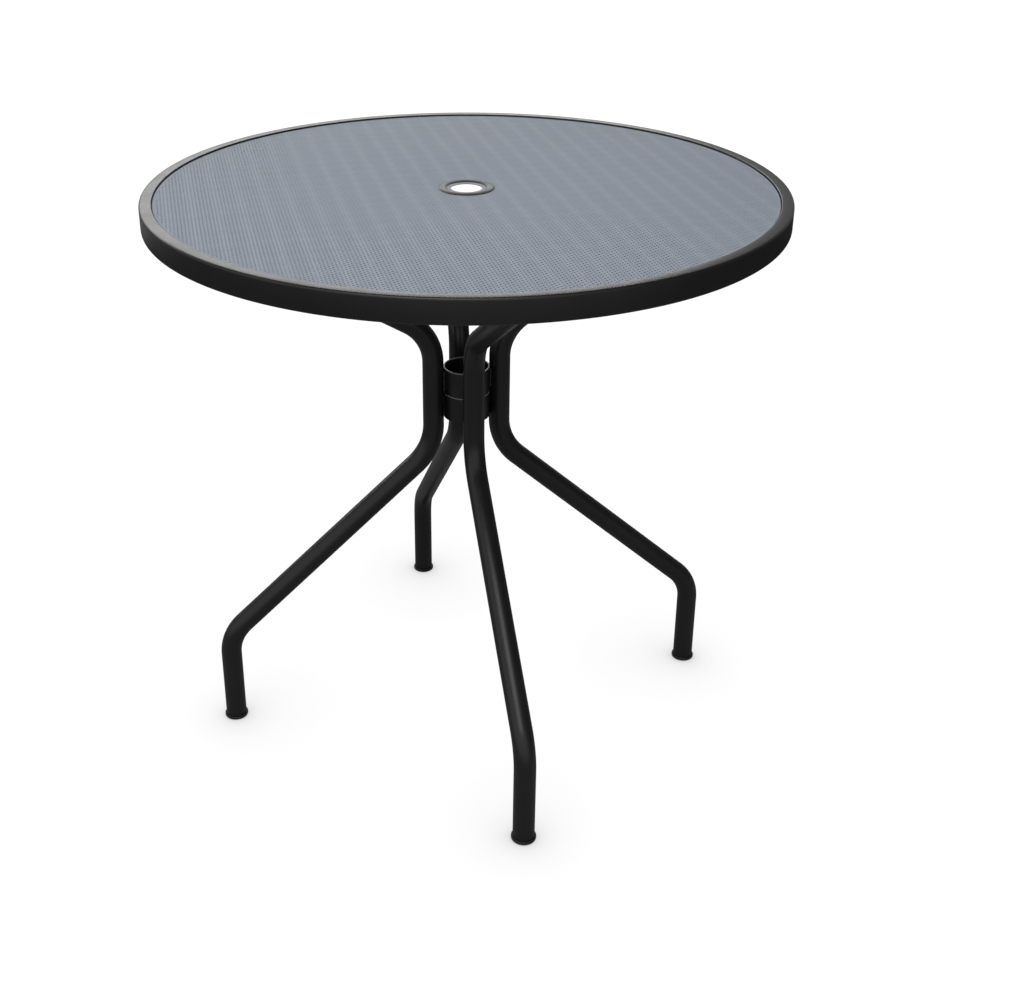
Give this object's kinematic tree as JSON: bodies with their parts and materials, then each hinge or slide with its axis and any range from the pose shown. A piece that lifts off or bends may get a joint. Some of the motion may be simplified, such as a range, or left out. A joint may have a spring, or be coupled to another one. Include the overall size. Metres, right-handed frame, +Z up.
{
  "type": "umbrella table",
  "caption": "Round garden table with a steel rim, a fine mesh top with a hole for an umbrella pole, and bent tube legs joined by two collars at the middle.",
  "frame": {"origin": "on the floor, on the table's vertical axis", "axes": "+Z up; the legs point along +X (right), +Y (back), -X (left) and -Y (front)"},
  "size_m": [0.8, 0.8, 0.75],
  "materials": {
    "frame_paint": "black powder coat, semi-gloss",
    "mesh_paint": "powder coat on fine steel mesh, satin",
    "ring_paint": "dark grey powder coat, satin",
    "glide_plastic": "black moulded plastic, matt",
    "plated_steel": "zinc plated, satin"
  },
  "bodies": {
    "root": {"rim_frame": "frame_paint", "mesh_top": "mesh_paint", "umbrella_ring": "ring_paint", "umbrella_backing_ring": "frame_paint", "upper_collar": "frame_paint", "lower_collar": "frame_paint", "brace_bar_right_back": "frame_paint", "brace_bar_back_left": "frame_paint", "brace_bar_left_front": "frame_paint", "brace_bar_front_right": "frame_paint", "leg_right": "frame_paint", "leg_back": "frame_paint", "leg_left": "frame_paint", "leg_front": "frame_paint", "glide_right": "glide_plastic", "glide_back": "glide_plastic", "glide_left": "glide_plastic", "glide_front": "glide_plastic", "corner_plate_right": "frame_paint", "corner_plate_back": "frame_paint", "corner_plate_left": "frame_paint", "corner_plate_front": "frame_paint", "arm_plate_right": "frame_paint", "arm_plate_back": "frame_paint", "arm_plate_left": "frame_paint", "arm_plate_front": "frame_paint", "bolt_right_a": "plated_steel", "bolt_right_b": "plated_steel", "bolt_back_a": "plated_steel", "bolt_back_b": "plated_steel", "bolt_left_a": "plated_steel", "bolt_left_b": "plated_steel", "bolt_front_a": "plated_steel", "bolt_front_b": "plated_steel", "washer_right_a": "plated_steel", "washer_right_b": "plated_steel", "washer_back_a": "plated_steel", "washer_back_b": "plated_steel", "washer_left_a": "plated_steel", "washer_left_b": "plated_steel", "washer_front_a": "plated_steel", "washer_front_b": "plated_steel", "weld_nut_right_a": "frame_paint", "weld_nut_right_b": "frame_paint", "weld_nut_back_a": "frame_paint", "weld_nut_back_b": "frame_paint", "weld_nut_left_a": "frame_paint", "weld_nut_left_b": "frame_paint", "weld_nut_front_a": "frame_paint", "weld_nut_front_b": "frame_paint"}
  },
  "joints": []
}
